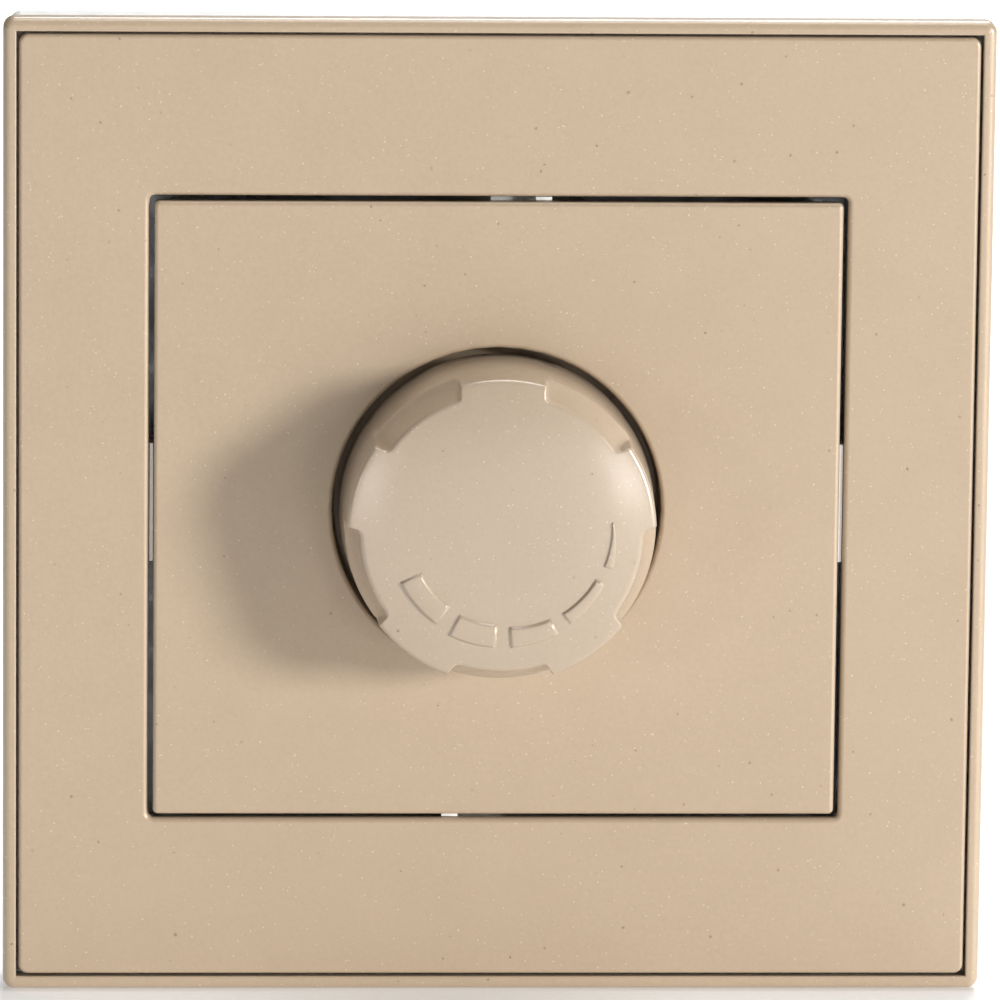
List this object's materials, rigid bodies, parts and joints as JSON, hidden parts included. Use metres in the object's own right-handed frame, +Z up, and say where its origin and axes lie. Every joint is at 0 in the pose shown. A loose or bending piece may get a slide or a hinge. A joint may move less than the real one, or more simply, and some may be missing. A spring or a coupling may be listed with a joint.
{
  "type": "rotary dimmer switch",
  "caption": "Champagne flush-mounted wall dimmer with a scooped rotary push knob, square frame, spreading claws and rising-clamp screw terminals",
  "frame": {"origin": "centre of the mounting yoke's rear face, on the plane of the wall and on the knob's axis", "axes": "+Z up, -Y out of the wall towards the user, +X to the user's right, +Y into the wall box"},
  "size_m": [0.085, 0.0461, 0.085],
  "materials": {
    "champagne": "champagne gold, satin, with a fine metallic fleck",
    "white_plastic": "plain white moulding",
    "grey_plastic": "light grey moulding, fine texture",
    "black_plastic": "black moulding",
    "carbon": "printed resistive ink",
    "zinc_steel": "zinc-plated pressed steel",
    "zinc_screw": "zinc-plated screw",
    "spring_steel": "drawn spring steel",
    "nickel": "nickel plate",
    "brass": "bright brass",
    "board": "glass-fibre board with solder resist",
    "aluminium": "extruded, plain",
    "copper_wire": "enamelled copper wire",
    "yellow_case": "yellow moulded case",
    "red_case": "dipped red case",
    "blue_case": "blue glass body",
    "resistor_body": "tan lacquer",
    "glass": "clear glass tube"
  },
  "bodies": {
    "fixed": {"outer_rim": "champagne", "front_fascia": "champagne", "centre_plate": "champagne", "back_frame": "white_plastic", "housing_front": "white_plastic", "housing_rear": "grey_plastic", "switch_spring": "spring_steel", "bush_washer": "nickel", "bush_nut": "nickel", "pot_bush": "brass", "terminal_bars": "brass", "fuse_clips": "brass", "pot_body": "black_plastic", "switch_case": "black_plastic", "triac": "black_plastic", "choke_core": "black_plastic", "resistive_track": "carbon", "mounting_yoke": "zinc_steel", "claw_pins": "zinc_steel", "housing_screws": "zinc_screw", "triac_screw": "zinc_screw", "pcb": "board", "heat_sink": "aluminium", "choke_winding": "copper_wire", "film_capacitor": "yellow_case", "timing_capacitor": "red_case", "resistors": "resistor_body", "diac": "blue_case", "fuse_tube": "glass", "fuse_caps": "nickel"},
    "rotor": {"wiper_rotor": "black_plastic", "wiper_contact": "brass"},
    "knob": {"knob": "champagne", "knob_clip": "spring_steel", "pot_shaft": "nickel", "shaft_ring": "nickel"},
    "plunger": {"switch_plunger": "black_plastic"},
    "left_screw": {"claw_screw_left": "zinc_screw"},
    "left_nut": {"claw_nut_left": "zinc_steel"},
    "left_claw": {"claw_left": "zinc_steel"},
    "right_screw": {"claw_screw_right": "zinc_screw"},
    "right_nut": {"claw_nut_right": "zinc_steel"},
    "right_claw": {"claw_right": "zinc_steel"},
    "clamp_screw_1": {"terminal_screw_1": "zinc_screw"},
    "clamp_cage_1": {"terminal_cage_1": "brass"},
    "clamp_screw_2": {"terminal_screw_2": "zinc_screw"},
    "clamp_cage_2": {"terminal_cage_2": "brass"},
    "clamp_screw_3": {"terminal_screw_3": "zinc_screw"},
    "clamp_cage_3": {"terminal_cage_3": "brass"}
  },
  "joints": [
    {"name": "knob_turn", "type": "hinge", "parent": "fixed", "child": "rotor", "pos_m": [0, 0, 0], "axis": [0, 1, 0], "range_deg": [-150, 150]},
    {"name": "knob_push", "type": "slide", "parent": "rotor", "child": "knob", "axis": [0, 1, 0], "range_m": [0, 0.0015], "stiffness_N_per_m": 900, "springref_m": -0.0015},
    {"name": "plunger_push", "type": "slide", "parent": "fixed", "child": "plunger", "axis": [0, 1, 0], "range_m": [0, 0.0015], "deforming": ["switch_spring"]},
    {"name": "left_screw_spin", "type": "hinge", "parent": "fixed", "child": "left_screw", "pos_m": [-0.024, 0, 0], "axis": [0, 1, 0], "range_deg": [0, 4320]},
    {"name": "left_nut_draw", "type": "slide", "parent": "fixed", "child": "left_nut", "axis": [0, -1, 0], "range_m": [0, 0.006]},
    {"name": "left_claw_spread", "type": "hinge", "parent": "fixed", "child": "left_claw", "pos_m": [-0.0266, 0.0026, 0], "axis": [0, 0, 1], "range_deg": [0, 18]},
    {"name": "right_screw_spin", "type": "hinge", "parent": "fixed", "child": "right_screw", "pos_m": [0.024, 0, 0], "axis": [0, 1, 0], "range_deg": [0, 4320]},
    {"name": "right_nut_draw", "type": "slide", "parent": "fixed", "child": "right_nut", "axis": [0, -1, 0], "range_m": [0, 0.006]},
    {"name": "right_claw_spread", "type": "hinge", "parent": "fixed", "child": "right_claw", "pos_m": [0.0266, 0.0026, 0], "axis": [0, 0, -1], "range_deg": [0, 18]},
    {"name": "clamp_spin_1", "type": "hinge", "parent": "fixed", "child": "clamp_screw_1", "pos_m": [-0.0075, 0.0192, -0.02], "axis": [0, 0, 1], "range_deg": [0, 1440]},
    {"name": "clamp_rise_1", "type": "slide", "parent": "fixed", "child": "clamp_cage_1", "axis": [0, 0, -1], "range_m": [0, 0.002]},
    {"name": "clamp_spin_2", "type": "hinge", "parent": "fixed", "child": "clamp_screw_2", "pos_m": [0, 0.0192, -0.02], "axis": [0, 0, 1], "range_deg": [0, 1440]},
    {"name": "clamp_rise_2", "type": "slide", "parent": "fixed", "child": "clamp_cage_2", "axis": [0, 0, -1], "range_m": [0, 0.002]},
    {"name": "clamp_spin_3", "type": "hinge", "parent": "fixed", "child": "clamp_screw_3", "pos_m": [0.0075, 0.0192, -0.02], "axis": [0, 0, 1], "range_deg": [0, 1440]},
    {"name": "clamp_rise_3", "type": "slide", "parent": "fixed", "child": "clamp_cage_3", "axis": [0, 0, -1], "range_m": [0, 0.002]}
  ],
  "couplings": [
    {"joint": "plunger_push", "follows": "knob_push", "ratio": 1},
    {"joint": "left_screw_spin", "follows": "left_nut_draw", "rad_per_m": 12566},
    {"joint": "left_claw_spread", "follows": "left_nut_draw", "rad_per_m": 52.36},
    {"joint": "right_screw_spin", "follows": "right_nut_draw", "rad_per_m": 12566},
    {"joint": "right_claw_spread", "follows": "right_nut_draw", "rad_per_m": 52.36},
    {"joint": "clamp_spin_1", "follows": "clamp_rise_1", "rad_per_m": 12566},
    {"joint": "clamp_spin_2", "follows": "clamp_rise_2", "rad_per_m": 12566},
    {"joint": "clamp_spin_3", "follows": "clamp_rise_3", "rad_per_m": 12566}
  ]
}
